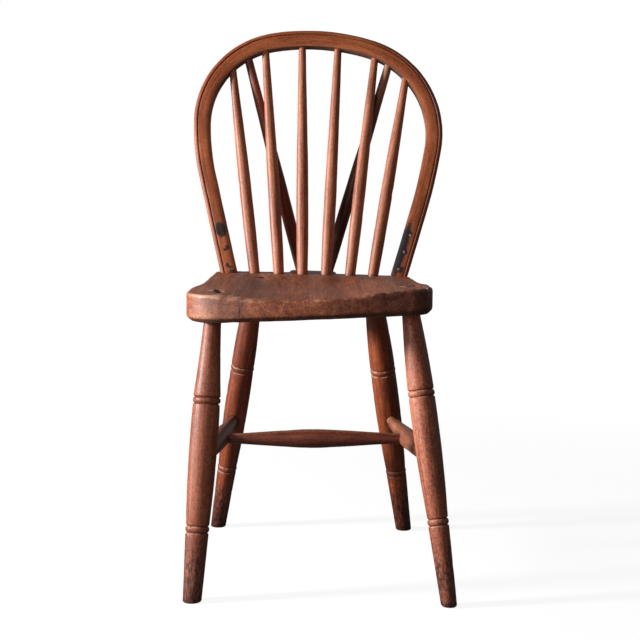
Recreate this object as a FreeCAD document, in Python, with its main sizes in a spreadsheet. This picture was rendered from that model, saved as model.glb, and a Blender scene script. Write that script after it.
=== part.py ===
import FreeCAD
import Part
import math
import os
import Sketcher

# Hoop-back stick chair. Millimetres, +Z up, the front of the chair faces -Y.
# Sizes are given from the middle of the back and from the front edge of the seat. The origin of the model is
# the middle of the chair's overall box, on the floor.

Vector = FreeCAD.Vector
doc = FreeCAD.newDocument("stick_chair")

DRIVING = {
    # Middle of the overall box, from the middle of the back and the front edge of the seat
    "middle_x": 4.2161,
    "middle_y": 202.2754,
    # Seat plank. The back is measured from a level a little under its top.
    "seat_top": 448.0,
    "seat_thick": 40.0,
    "back_level": 445.0,
    "seat_middle_shift": -3.0,
    "seat_widest_left": 180.1,
    "seat_widest_right": 177.3,
    "seat_widest_y": 82.0,
    "seat_waist_half": 166.0,
    "seat_waist_y": 192.0,
    "seat_front_bulge": 7.5,
    "seat_back_half": 162.0,
    "seat_back_y": 356.0,
    "seat_back_bulge": 15.0,
    "bulge_halfway": 10.0,
    "corner_left": 58.0,
    "corner_right": 34.0,
    "corner_back": 14.0,
    "seat_lower_bevel": 7.0,
    "seat_upper_round": 3.0,
    "seat_worn_round": 8.0,
    "tail_half": 40.0,
    "tail_y": 425.0,
    "tail_root": 9.0,
    "tail_corner": 8.0,
    # The plank has warped: its front edge rises to the right, the more so underneath, its back edge falls
    "warp_front": 2.35,
    "warp_front_under": 3.0,
    "warp_back": -1.0,
    "saddle_depth": 9.5,
    "saddle_half": 132.0,
    "saddle_side": 88.0,
    "saddle_back": 90.0,
    "saddle_back_y": 322.0,
    # Hoop, in its own raked plane: crown, shoulders, flanks and straight feet
    "back_line_y": 339.0,
    "rake": 12.2,
    "bow_width": 27.5,
    "bow_depth": 26.0,
    "bow_crown_x": -12.9,
    "bow_crown_rise": 404.0,
    "bow_crown_radius": 353.0,
    "bow_crown_turn_left": 10.3,
    "bow_crown_turn_right": 17.1,
    "bow_shoulder_radius_left": 141.0,
    "bow_shoulder_radius_right": 153.0,
    "bow_shoulder_turn_left": 89.7,
    "bow_shoulder_turn_right": 99.1,
    "bow_flank_radius_left": 384.0,
    "bow_flank_radius_right": 903.0,
    "bow_lean_left": 13.4,
    "bow_lean_right": 16.2,
    "bow_housing": 8.0,
    "bow_tenon_radius": 10.0,
    "bow_tenon_root": 3.0,
    "socket_taper": 1.2,
    "bead_inset": 6.0,
    "bead_width": 2.0,
    "bead_depth": 1.4,
    "bow_round_bead": 5.0,
    "bow_round_rear": 4.0,
    "bow_round_inside": 2.0,
    # Back sticks and braces
    "stick_foot_radius": 8.7,
    "stick_swell_radius": 10.1,
    "stick_waist_radius": 8.8,
    "stick_head_radius": 6.2,
    "stick_swell_up": 110.0,
    "stick_waist_up": 235.0,
    "stick_seat_socket": 24.0,
    "stick_bow_socket": 14.0,
    "stick_head_straight": 4.0,
    "foot_below": 6.0,
    "reach_search": 60.0,
    "reach_fine": 0.001,
    "brace_foot_radius": 9.6,
    "brace_swell_radius": 10.6,
    "brace_head_radius": 6.8,
    "brace_head_straight": 16.0,
    "brace_head_fall": 0.4,
    # Legs
    "leg_neck_above": 8.0,
    "leg_head_radius": 12.0,
    "leg_blank": 450.0,
    "leg_upper_ring": 119.8,
    "leg_lower_ring": 306.3,
    "ring_half": 4.7,
    "ring_groove": 1.9,
    "ring_groove_half": 1.5,
    "ring_shoulder": 0.4,
    "ring_bead": 0.5,
    "belly_fall": 0.5,
    "belly_swell": 1.2,
    "belly_middle_share": 0.57,
    "neck_middle_share": 0.52,
    "foot_round": 1.8,
    # Stretchers: two long tapers that meet in a short round swell
    "side_swell_radius": 14.8,
    "side_end_radius": 7.4,
    "cross_swell_radius": 14.8,
    "cross_end_radius": 7.4,
    "swell_half": 24.0,
    "swell_fall": 0.6,
    "stretcher_socket": 14.0,
    "stretcher_shoulder": 0.3,
    "leg_core": 5.0,
    "side_core": 3.0,
    # Wedges and nails
    "wedge_thick": 3.5,
    "wedge_tip": 1.4,
    "wedge_long": 26.0,
    "wedge_over": 1.0,
    "nail_radius": 2.2,
    "nail_long": 14.0,
    "nail_proud": 0.6,
    "floor_reach": 600.0,
    # Extra length of what is cut flush
    "spare": 20.0,
}

# Share of a rounded corner's radius by which the middle of its arc lies inside the sharp corner
ROUNDED = "(1 - sqrt(0.5)) * "

# Where each leg leaves the underside of the seat and where its middle meets the floor, the depth by which its
# ring marks are dropped below the seat, and its radii at the neck, half-way down it, at the belly, over the
# lower ring and at the foot.
LEGS = {
    "front_left": ((-145.0, 59.0), (-167.6, -15.5), -0.3, (12.3, 15.9, 20.4, 17.0, 12.1)),
    "front_right": ((145.0, 60.0), (202.6, -23.3), -1.3, (12.3, 17.2, 19.6, 15.0, 10.8)),
    "back_left": ((-100.0, 302.0), (-164.1, 399.9), 2.4, (13.0, 17.9, 19.6, 16.0, 12.1)),
    "back_right": ((99.0, 303.0), (159.8, 393.7), 2.2, (13.6, 19.0, 21.1, 16.8, 12.0)),
}

# Heights of each side stretcher where it runs to its front and its back leg
SIDE_STRETCHERS = {"left": (196.0, 200.5), "right": (202.0, 203.5)}

# Foot on the seat and a point near the head of each stick, both in the raked plane: across and up.
STICKS = {
    "stick_1": ((-99.2, 0.0), (-138.3, 318.0)),
    "stick_2": ((-58.7, 0.0), (-85.3, 358.0)),
    "stick_3": ((-19.6, 0.0), (-24.7, 372.0)),
    "stick_4": ((20.0, 0.0), (35.0, 372.0)),
    "stick_5": ((59.5, 0.0), (96.8, 360.0)),
    "stick_6": ((97.6, 0.0), (147.6, 319.0)),
}

# Foot on the tail across and back, and the point across and up the hoop where each brace enters it.
BRACES = {
    "brace_left": ((-21.0, 403.0), (-119.5, 382.5)),
    "brace_right": ((20.6, 403.0), (124.7, 373.3)),
}

# Nails at the foot of the hoop: across from its middle line and up from the seat.
BOW_NAILS = {
    "left": ((-3.0, 70.0), (1.5, 41.0), (4.0, 12.0)),
    "right": ((-2.0, 68.0), (-4.0, 40.0), (-4.5, 11.0)),
}
SEAT_NAIL = (166.0, 14.0)

# How much of its saw kerf each leg wedge still fills: the two in front have shrunk and broken away.
WEDGE_SHARES = {"front_left": 0.42, "front_right": 0.36, "back_left": 1.0, "back_right": 1.0}

sheet = doc.addObject("Spreadsheet::Sheet", "dims")
cells = {}


def add_cell(alias, value):
    """Write one dimension into the sheet: its name, its value and the value's alias."""
    row = len(cells) + 1
    sheet.set("A%d" % row, alias)
    sheet.set("B%d" % row, "%.4f" % value)
    sheet.setAlias("B%d" % row, alias)
    cells[alias] = value
    return "dims." + alias


def add_length(alias, value):
    """Put a worked-out length into the sheet and bring the sheet up to date."""
    formula = add_cell(alias, value)
    sheet.recompute()
    return formula


for alias, value in DRIVING.items():
    add_cell(alias, value)
for leg, (head, foot, drop, radii) in LEGS.items():
    for part, radius in zip(("neck", "throat", "belly", "ankle", "toe"), radii):
        add_cell("%s_%s" % (leg, part), radius)
    add_cell("%s_drop" % leg, drop)
doc.recompute()


def spot(x, y, z):
    """Place in the model of a point given from the middle of the back and the front edge of the seat."""
    return Vector(x - cells["middle_x"], y - cells["middle_y"], z)


def add_sketch(body, name, role):
    """An empty sketch on one of the body's own origin planes."""
    plane = next(item for item in body.Origin.OriginFeatures if item.Role == role)
    sketch = body.newObject("Sketcher::SketchObject", name)
    sketch.AttachmentSupport = [(plane, "")]
    sketch.MapMode = "FlatFace"
    return sketch


def draw(sketch, outline):
    """Draw a chain of lines and arcs through a list of points, each a pair of formulas of the sheet's cells.

    A point with four formulas ends an arc, and its last two give a point on the way there. The last point
    repeats the first, which closes the chain.
    """
    rules = []
    formulas = {}

    def place(pair):
        return Vector(*(float(sketch.evalExpression(formula)) for formula in pair), 0)

    def pin(geometry, end, pair):
        for axis, formula, value in zip(("DistanceX", "DistanceY"), pair, place(pair)):
            formulas[len(rules)] = formula
            rules.append(Sketcher.Constraint(axis, -1, 1, geometry, end, value))

    ends = []
    for start, step in zip(outline, outline[1:]):
        first = place(start[:2])
        last = place(step[:2])
        begin, finish = 1, 2
        if len(step) == 4:
            middle = place(step[2:])
            if (middle - first).cross(last - middle).z > 0:
                arc = Part.Arc(first, middle, last)
            else:
                arc = Part.Arc(last, middle, first)
                begin, finish = 2, 1
            item = sketch.addGeometry(arc, False)
            via = sketch.addGeometry(Part.Point(middle), True)
            pin(via, 1, step[2:])
            rules.append(Sketcher.Constraint("PointOnObject", via, 1, item))
        else:
            item = sketch.addGeometry(Part.LineSegment(first, last), False)
        pin(item, begin, start[:2])
        ends.append((item, begin, finish))
    for one, other in zip(ends, ends[1:]):
        rules.append(Sketcher.Constraint("Coincident", one[0], one[2], other[0], other[1]))
    rules.append(Sketcher.Constraint("Coincident", ends[-1][0], ends[-1][2], ends[0][0], ends[0][1]))
    sketch.addConstraint(rules)
    for index, formula in formulas.items():
        sketch.setExpression("Constraints[%d]" % index, formula)
    return sketch


def add_turned(name, outline, placement):
    """A piece turned on a lathe: the outline gives radius and length along the piece's own Z axis."""
    body = doc.addObject("PartDesign::Body", name)
    sketch = draw(add_sketch(body, name + "_profile", "XZ_Plane"), outline)
    turning = body.newObject("PartDesign::Revolution", name + "_turning")
    turning.Profile = sketch
    turning.ReferenceAxis = (sketch, ["V_Axis"])
    turning.Angle = 360
    body.Placement = placement
    return body


def along(foot, head):
    """Placement that lays a piece's own Z axis on the line from foot to head, its X axis across the chair."""
    return FreeCAD.Placement(foot, FreeCAD.Rotation(Vector(1, 0, 0), Vector(0, 1, 0), head - foot, "ZXY"))


def group(name, items):
    """Solids that don't touch each other, as one compound."""
    compound = doc.addObject("Part::Compound", name)
    compound.Links = items
    return compound


def cut(name, base, tools):
    """Base less its tools, which don't touch each other."""
    result = doc.addObject("Part::Cut", name)
    result.Base = base
    result.Tool = tools[0] if len(tools) == 1 else group(name + "_tools", tools)
    return result


def common(name, one, other):
    """What two shapes share."""
    result = doc.addObject("Part::Common", name)
    result.Base = one
    result.Tool = other
    return result


def add_shape(name, shape):
    """A worked-out shape that the sketches and primitives have no form for."""
    feature = doc.addObject("Part::Feature", name)
    feature.Shape = shape
    feature.Placement = FreeCAD.Placement(spot(0, 0, 0), FreeCAD.Rotation())
    return feature


# The warped plank, with the stations of its worked faces, which reach past its plan on all sides
ACROSS = range(-240, 241, 24)
LENGTHWISE = range(-60, 481, 36)


def warp_slope(y, front):
    """Slope across the chair of a face of the plank, at a distance y behind its front edge."""
    share = y / cells["seat_back_y"]
    angle = cells[front] + (cells["warp_back"] - cells[front]) * share
    return math.tan(math.radians(angle))


def under_level(x, y):
    """Height of the underside of the plank."""
    return cells["seat_top"] - cells["seat_thick"] + x * warp_slope(y, "warp_front_under")


def smooth(share):
    """Rise from 0 to 1 with level ends."""
    share = min(max(share, 0.0), 1.0)
    return share * share * (3 - 2 * share)


def top_level(x, y):
    """Height of the top of the plank, with the saddle worked into it from the front edge to the sticks."""
    inside = (cells["saddle_half"] - abs(x - cells["seat_middle_shift"])) / cells["saddle_side"]
    ahead = (cells["saddle_back_y"] - y) / cells["saddle_back"]
    dish = cells["saddle_depth"] * smooth(inside) * smooth(ahead)
    return cells["seat_top"] + x * warp_slope(y, "warp_front") - dish


def saddle_waste():
    """What is worked away above the seat: a smooth sheet through points of the top, and all above it."""
    rows = [[Vector(x, y, top_level(x, y)) for y in LENGTHWISE] for x in ACROSS]
    surface = Part.BSplineSurface()
    surface.interpolate(rows)
    return surface.toShape().extrude(Vector(0, 0, 3 * cells["spare"]))


def under_waste():
    """What is worked away under the seat: all below a ruled sheet between the front and back edges."""
    edges = []
    for y in (LENGTHWISE[0], LENGTHWISE[-1]):
        ends = [Vector(x, y, under_level(x, y)) for x in (ACROSS[0], ACROSS[-1])]
        edges.append(Part.LineSegment(*ends).toShape())
    return Part.makeRuledSurface(*edges).extrude(Vector(0, 0, -3 * cells["spare"]))


def half(sign, formula, lengthwise):
    """A pair of formulas for a point of the plan at a half width to one side of the plank's middle."""
    return ("dims.seat_middle_shift %s (%s)" % (sign, formula), lengthwise)


def plan_side(sign, corner, wide):
    """One side of the plank's plan, from its front edge round the corner and the waist to the tail's end."""
    waist = "dims.seat_waist_half"
    narrow = "(%s - dims.seat_waist_half)" % wide
    wide_y = "dims.seat_widest_y"
    waist_y = "dims.seat_waist_y"
    sweep = "(dims.seat_waist_y - dims.seat_widest_y)"
    back = "dims.seat_back_half"
    back_y = "dims.seat_back_y"
    bulge_y = "dims.seat_back_y + dims.seat_back_bulge"
    tail = "dims.tail_half"
    off = ROUNDED
    return [
        (half(sign, wide + " - " + corner, "0"), None),
        (half(sign, wide, corner), half(sign, wide + " - " + off + corner, off + corner)),
        (half(sign, wide, wide_y), None),
        (half(sign, wide + " - " + narrow + " / 2", wide_y + " + " + sweep + " / 2"),
         half(sign, wide + " - " + narrow + " / 8", wide_y + " + " + sweep + " / 4")),
        (half(sign, waist, waist_y),
         half(sign, waist + " + " + narrow + " / 8", waist_y + " - " + sweep + " / 4")),
        (half(sign, back, back_y + " - dims.corner_back"), None),
        (half(sign, back + " - dims.corner_back", back_y),
         half(sign, back + " - " + off + "dims.corner_back", back_y + " - " + off + "dims.corner_back")),
        (half(sign, tail + " + dims.tail_root", bulge_y),
         half(sign, "(" + tail + " + " + back + ") / 2", back_y + " + dims.bulge_halfway")),
        (half(sign, tail, bulge_y + " + dims.tail_root"),
         half(sign, tail + " + " + off + "dims.tail_root", bulge_y + " + " + off + "dims.tail_root")),
        (half(sign, tail, "dims.tail_y - dims.tail_corner"), None),
        (half(sign, tail + " - dims.tail_corner", "dims.tail_y"),
         half(sign, tail + " - " + off + "dims.tail_corner", "dims.tail_y - " + off + "dims.tail_corner")),
    ]


def seat_plan():
    """The closed plan: the right side from front to tail, then the left side back again."""
    right = plan_side("+", "dims.corner_right", "dims.seat_widest_right")
    left = plan_side("-", "dims.corner_left", "dims.seat_widest_left")
    outline = [right[0][0]]
    outline += [end + (via or ()) for end, via in right[1:]]
    outline.append(left[-1][0])
    for (end, via), (start, unused) in zip(left[:0:-1], left[-2::-1]):
        outline.append(start + (via or ()))
    outline.append(right[0][0] + half("+", "0", "-dims.seat_front_bulge"))
    return outline


def rim(shape, upper):
    """Numbers of the edges round the top or the underside of the plank."""
    middle = cells["seat_top"] - cells["seat_thick"] / 2
    numbers = []
    for number, edge in enumerate(shape.Edges, 1):
        box = edge.BoundBox
        if (box.ZMin > middle) if upper else (box.ZMax < middle):
            numbers.append(number)
    return numbers


def ease(kind, name, base, sizes):
    """Chamfer or fillet of the edges whose numbers are given, each with its size at both ends."""
    eased = doc.addObject(kind, name)
    eased.Base = base
    eased.Edges = [(number, first, last) for number, (first, last) in sizes.items()]
    return eased


def worn_sizes(shape):
    """Rounding of the edges round the top: use has worn it away at the front, most of all to the left."""
    plain = cells["seat_upper_round"]
    worn = cells["seat_worn_round"]
    front = spot(0, 0, 0).y
    sizes = {}
    for number in rim(shape, True):
        edge = shape.Edges[number - 1]
        ends = [edge.valueAt(share) for share in edge.ParameterRange]
        at_front = [end.y < front + cells["spare"] / 2 for end in ends]
        sizes[number] = [worn if near and end.x < 0 else plain for end, near in zip(ends, at_front)]
    return sizes


def add_seat_blank(top_waste, low_waste):
    """The plank: its plan as a pad, worked to the warped faces, bevelled below and rounded above."""
    body = doc.addObject("PartDesign::Body", "seat_plank")
    pad = body.newObject("PartDesign::Pad", "seat_plank_pad")
    pad.Profile = draw(add_sketch(body, "seat_plan", "XY_Plane"), seat_plan())
    pad.setExpression("Length", "dims.seat_thick + 2 * dims.spare")
    body.Placement.Base = spot(0, 0, cells["seat_top"] - cells["seat_thick"] - cells["spare"])
    worked = cut("seat_worked", cut("seat_saddled", body, [top_waste]), [low_waste])
    doc.recompute()
    bevel = (cells["seat_lower_bevel"], cells["seat_lower_bevel"])
    bevelled = ease("Part::Chamfer", "seat_bevelled", worked,
                    {number: bevel for number in rim(worked.Shape, False)})
    doc.recompute()
    return ease("Part::Fillet", "seat_rounded", bevelled, worn_sizes(bevelled.Shape))


# The hoop, in its own raked plane
RAKE = math.radians(cells["rake"])
BACK_ORIGIN = spot(0, cells["back_line_y"], cells["back_level"])
BACK_UP = Vector(0, math.sin(RAKE), math.cos(RAKE))
BACK_PLACE = FreeCAD.Placement(BACK_ORIGIN, FreeCAD.Rotation(Vector(1, 0, 0), -cells["rake"]))


def on_back(across, up):
    """Point of the hoop's plane, across from the chair's middle and up from the seat."""
    return BACK_ORIGIN + Vector(across, 0, 0) + BACK_UP * up


def bow_chain(hand, side):
    """Middle line of half the hoop from the crown down: its arcs, its knee and the direction of its foot."""
    point = Vector(cells["bow_crown_x"], cells["bow_crown_rise"], 0)
    heading = 0.0
    arcs = []
    turns = (
        (cells["bow_crown_radius"], cells["bow_crown_turn_" + hand]),
        (cells["bow_shoulder_radius_" + hand], cells["bow_shoulder_turn_" + hand]),
        (cells["bow_flank_radius_" + hand], 90.0 + cells["bow_lean_" + hand]),
    )

    def outward(angle):
        bend = math.radians(angle)
        return Vector(side * math.sin(bend), math.cos(bend), 0)

    for radius, final in turns:
        centre = point - outward(heading) * radius
        end = centre + outward(final) * radius
        arcs.append(Part.Arc(point, centre + outward((heading + final) / 2) * radius, end))
        point = end
        heading = final
    lean = math.radians(cells["bow_lean_" + hand])
    return arcs, point, Vector(-side * math.sin(lean), -math.cos(lean), 0)


def bow_foot(hand, side, up):
    """Point of the hoop's foot at a height above the seat, in the hoop's plane."""
    arcs, knee, down = bow_chain(hand, side)
    return knee + down * ((up - knee.y) / down.y)


SIDES = (("left", -1), ("right", 1))


def add_bow():
    """The steam-bent hoop: one moulded section led down both halves from the crown."""
    body = doc.addObject("PartDesign::Body", "bow_blank")
    section = add_sketch(body, "bow_section", "YZ_Plane")
    section.setExpression("AttachmentOffset.Base.z", "dims.bow_crown_x")
    face = "-dims.bow_depth / 2"
    back = "dims.bow_depth / 2"
    inner = "dims.bow_crown_rise - dims.bow_width / 2"
    outer = "dims.bow_crown_rise + dims.bow_width / 2"
    groove = outer + " - dims.bead_inset"

    def rounding(depthwise, depth_sign, upward, up_sign, size):
        return (depthwise + depth_sign + ROUNDED + size, upward + up_sign + ROUNDED + size)

    bead = "dims.bow_round_bead"
    rear = "dims.bow_round_rear"
    inside = "dims.bow_round_inside"
    outline = [
        (face, inner + " + " + inside),
        (face, groove + " - dims.bead_width"),
        (face + " + dims.bead_depth", groove + " - dims.bead_width / 2"),
        (face, groove),
        (face, outer + " - " + bead),
        (face + " + " + bead, outer) + rounding(face, " + ", outer, " - ", bead),
        (back + " - " + rear, outer),
        (back, outer + " - " + rear) + rounding(back, " - ", outer, " - ", rear),
        (back, inner + " + " + rear),
        (back + " - " + rear, inner) + rounding(back, " - ", inner, " + ", rear),
        (face + " + " + inside, inner),
        (face, inner + " + " + inside) + rounding(face, " + ", inner, " + ", inside),
    ]
    draw(section, outline)
    for hand, side in SIDES:
        arcs, knee, down = bow_chain(hand, side)
        path = add_sketch(body, "bow_path_" + hand, "XZ_Plane")
        path.addGeometry(arcs + [Part.LineSegment(knee, bow_foot(hand, side, -cells["bow_housing"]))], False)
        for index in range(len(arcs) + 1):
            path.addConstraint(Sketcher.Constraint("Block", index))
        pipe = body.newObject("PartDesign::AdditivePipe", "bow_half_" + hand)
        pipe.Profile = section
        pipe.Spine = path
        doc.recompute()
    body.Placement = BACK_PLACE
    return body


def add_bow_tenon(hand, side):
    """Round tenon under one foot of the hoop, long enough to pass the seat."""
    down = bow_chain(hand, side)[2]
    start = bow_foot(hand, side, cells["bow_tenon_root"] - cells["bow_housing"])
    foot = on_back(start.x, start.y)
    head = on_back(start.x + down.x, start.y + down.y)
    radius = "dims.bow_tenon_radius"
    length = "dims.seat_thick + dims.spare"
    end = radius + " - dims.socket_taper"
    outline = [("0", "0"), (radius, "0"), (end, length), ("0", length), ("0", "0")]
    return add_turned("bow_tenon_" + hand, outline, along(foot, head))


def bow_middle_wire():
    """Middle line of the whole hoop in its own plane, for finding where a stick meets it."""
    edges = []
    for hand, side in SIDES:
        arcs, knee, down = bow_chain(hand, side)
        edges += [arc.toShape() for arc in arcs]
        edges.append(Part.LineSegment(knee, bow_foot(hand, side, 0)).toShape())
    return Part.Compound(edges)


def reach_bow(foot, head):
    """Distance from a stick's foot to the inside of the hoop, along its line in the hoop's plane."""
    middle = bow_middle_wire()
    direction = (head - foot).normalize()
    low = (head - foot).Length - cells["reach_search"]
    high = (head - foot).Length + cells["reach_search"]
    while high - low > cells["reach_fine"]:
        length = (low + high) / 2
        gap = middle.distToShape(Part.Vertex(foot + direction * length))[0] - cells["bow_width"] / 2
        if gap > 0:
            low = length
        else:
            high = length
    return low


def add_stick(name, foot, head):
    """A long back stick: swelled above the seat, fining to its head, with both ends let in."""
    reach = reach_bow(Vector(*foot, 0), Vector(*head, 0))
    reach_cell = add_length(name + "_reach", reach)
    outline = [
        ("0", "-dims.stick_seat_socket"),
        ("dims.stick_foot_radius - dims.socket_taper", "-dims.stick_seat_socket"),
        ("dims.stick_foot_radius", "-dims.foot_below"),
        ("dims.stick_waist_radius", "dims.stick_waist_up", "dims.stick_swell_radius", "dims.stick_swell_up"),
        ("dims.stick_head_radius", reach_cell + " - dims.stick_head_straight"),
        ("dims.stick_head_radius", reach_cell + " + dims.stick_bow_socket"),
        ("0", reach_cell + " + dims.stick_bow_socket"),
        ("0", "-dims.stick_seat_socket"),
    ]
    return add_turned(name, outline, along(on_back(*foot), on_back(*head)))


def add_brace(name, foot, head):
    """A brace stick from the tail to the hoop."""
    start = spot(foot[0], foot[1], cells["back_level"])
    end = on_back(*head)
    reach_cell = add_length(name + "_reach", (end - start).Length)
    outline = [
        ("0", "-dims.stick_seat_socket"),
        ("dims.brace_foot_radius - dims.socket_taper", "-dims.stick_seat_socket"),
        ("dims.brace_foot_radius", "-dims.foot_below"),
        ("dims.stick_waist_radius", "dims.stick_waist_up", "dims.brace_swell_radius", "dims.stick_swell_up"),
        ("dims.brace_head_radius", reach_cell + " - dims.brace_head_straight"),
        ("dims.brace_head_radius - dims.brace_head_fall", reach_cell),
        ("0", reach_cell),
        ("0", "-dims.stick_seat_socket"),
    ]
    return add_turned(name, outline, along(start, end))


def ring(level, radius):
    """Two grooves with a bead between them, from the lower one up."""
    def at(offset, depth):
        return ("%s - %s" % (radius, depth), "%s %s" % (level, offset))

    spread = "dims.ring_half"
    wide = "dims.ring_groove_half"
    deep = "dims.ring_groove"
    return [
        at("- %s - %s" % (spread, wide), "0"),
        at("- " + spread, deep),
        at("- %s + %s" % (spread, wide), "dims.ring_shoulder"),
        at("+ %s - %s" % (spread, wide), "dims.ring_shoulder") + at("", "(-dims.ring_bead)"),
        at("+ " + spread, deep),
        at("+ %s + %s" % (spread, wide), "0"),
    ]


def leg_line(name):
    """Ends of a leg's middle line: under the seat and on the floor."""
    head, foot = LEGS[name][:2]
    return spot(head[0], head[1], under_level(*head)), spot(foot[0], foot[1], 0)


def leg_point(name, height):
    """Point of a leg's middle line at a height above the floor."""
    top, toe_end = leg_line(name)
    return toe_end + (top - toe_end) * (height / top.z)


def add_leg(name):
    """A turned leg: neck, belly between two ringed bands and tapered foot, with its tenon above the neck."""
    top, toe_end = leg_line(name)
    belly = "dims.%s_belly" % name
    ankle = "dims.%s_ankle" % name
    toe = "dims.%s_toe" % name
    sunk = "dims.%s_drop" % name
    upper = "(-dims.leg_upper_ring - %s)" % sunk
    lower = "(-dims.leg_lower_ring - %s)" % sunk
    outline = [
        ("0", "-dims.leg_blank"),
        (toe, "-dims.leg_blank"),
    ]
    outline += ring(lower, ankle)
    belly_end = belly + " - dims.belly_fall"
    outline += [(belly_end, upper + " - dims.ring_half - dims.ring_groove_half",
                 "(%s + %s) / 2 + dims.belly_swell" % (belly, ankle),
                 "%s + (%s - %s) * dims.belly_middle_share" % (upper, lower, upper))]
    outline += ring(upper, belly_end)[1:]
    outline += [
        ("dims.%s_neck" % name, "dims.leg_neck_above",
         "dims.%s_throat" % name, upper + " * dims.neck_middle_share"),
        ("dims.leg_head_radius", "dims.seat_thick + dims.spare"),
        ("0", "dims.seat_thick + dims.spare"),
        ("0", "-dims.leg_blank"),
    ]
    return add_turned("leg_%s_blank" % name, outline, along(top, top * 2 - toe_end))


def add_stretcher(name, start, end, inset, swell, tip):
    """A stretcher swelled in the middle. Its ends stop short of the middle lines they run to by an inset."""
    direction = (end - start).normalize()
    span = add_length(name + "_span", (end - start).Length - 2 * inset)
    shoulder = tip + " + dims.stretcher_shoulder"
    beside = swell + " - dims.swell_fall"
    outline = [
        ("0", "0"),
        (tip, "0"),
        (shoulder, "dims.stretcher_socket"),
        (beside, span + " / 2 - dims.swell_half"),
        (beside, span + " / 2 + dims.swell_half", swell, span + " / 2"),
        (shoulder, span + " - dims.stretcher_socket"),
        (tip, span),
        ("0", span),
        ("0", "0"),
    ]
    return add_turned(name, outline, along(start + direction * inset, end))


def add_wedge(name, carrier, radius, share):
    """A tapered wedge across the tenon of its carrier, filling a share of the tenon from its left side."""
    body = doc.addObject("PartDesign::Body", name)
    end = "dims.seat_thick + dims.spare"
    tip = "dims.seat_thick - dims.wedge_long"
    outline = [
        ("-dims.wedge_tip / 2", tip),
        ("dims.wedge_tip / 2", tip),
        ("dims.wedge_thick / 2", end),
        ("-dims.wedge_thick / 2", end),
        ("-dims.wedge_tip / 2", tip),
    ]
    profile = add_sketch(body, name + "_profile", "YZ_Plane")
    profile.setExpression("AttachmentOffset.Base.z", "-%s - dims.wedge_over" % radius)
    pad = body.newObject("PartDesign::Pad", name + "_pad")
    pad.Profile = draw(profile, outline)
    pad.setExpression("Length", "2 * (%s + dims.wedge_over) * %g" % (radius, share))
    body.Placement = carrier.Placement
    return body


def add_nail(name, place):
    """A round nail along its own Z axis with its head at zero."""
    nail = doc.addObject("Part::Cylinder", name)
    nail.setExpression("Radius", "dims.nail_radius")
    nail.setExpression("Height", "dims.nail_long")
    nail.Placement = place
    return nail


def add_bow_nails():
    """The nails at both feet of the hoop, driven in from the front."""
    nails = []
    back = Vector(0, math.cos(RAKE), -math.sin(RAKE))
    for hand, side in SIDES:
        for number, (across, up) in enumerate(BOW_NAILS[hand], 1):
            middle = bow_foot(hand, side, up)
            head = on_back(middle.x + across, up) - back * (cells["bow_depth"] / 2 + cells["nail_proud"])
            nails.append(add_nail("bow_nail_%s_%d" % (hand, number), along(head, head + back)))
    return nails


def add_seat_nail():
    """The nail let into the right front corner of the seat from above."""
    x, y = SEAT_NAIL
    head = spot(x, y, top_level(x, y) + cells["nail_proud"])
    return add_nail("seat_nail", along(head, head - Vector(0, 0, 1)))


def foot_sizes(shape):
    """Sizes of the small bevel round the end of a leg on the floor."""
    sizes = {}
    for number, edge in enumerate(shape.Edges, 1):
        if edge.BoundBox.ZMax < cells["foot_round"] / 2:
            sizes[number] = (cells["foot_round"], cells["foot_round"])
    return sizes


def add_floor():
    """All that lies under the floor, which cuts the feet level."""
    floor = doc.addObject("Part::Box", "floor")
    floor.setExpression("Length", "dims.floor_reach * 2")
    floor.setExpression("Width", "dims.floor_reach * 2")
    floor.setExpression("Height", "dims.floor_reach")
    floor.Placement.Base = Vector(-cells["floor_reach"], -cells["floor_reach"], -cells["floor_reach"])
    return floor


# The pieces before they are fitted to each other
top_waste = add_shape("saddle_waste", saddle_waste())
low_waste = add_shape("under_waste", under_waste())
seat_blank = add_seat_blank(top_waste, low_waste)
bow_blank = add_bow()
tenons = {hand: add_bow_tenon(hand, side) for hand, side in SIDES}
let_in = [add_stick(name, foot, head) for name, (foot, head) in STICKS.items()]
let_in += [add_brace(name, foot, head) for name, (foot, head) in BRACES.items()]
leg_blanks = {name: add_leg(name) for name in LEGS}
floor = add_floor()
side_blanks = {}
middles = []
for hand, (front_height, back_height) in SIDE_STRETCHERS.items():
    front = leg_point("front_" + hand, front_height)
    back = leg_point("back_" + hand, back_height)
    middles.append((front + back) / 2)
    side_blanks[hand] = add_stretcher("stretcher_%s_blank" % hand, front, back, cells["leg_core"],
                                      "dims.side_swell_radius", "dims.side_end_radius")
cross = add_stretcher("stretcher_cross", middles[0], middles[1], cells["side_core"],
                      "dims.cross_swell_radius", "dims.cross_end_radius")
nails = add_bow_nails()
seat_nail = add_seat_nail()

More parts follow.
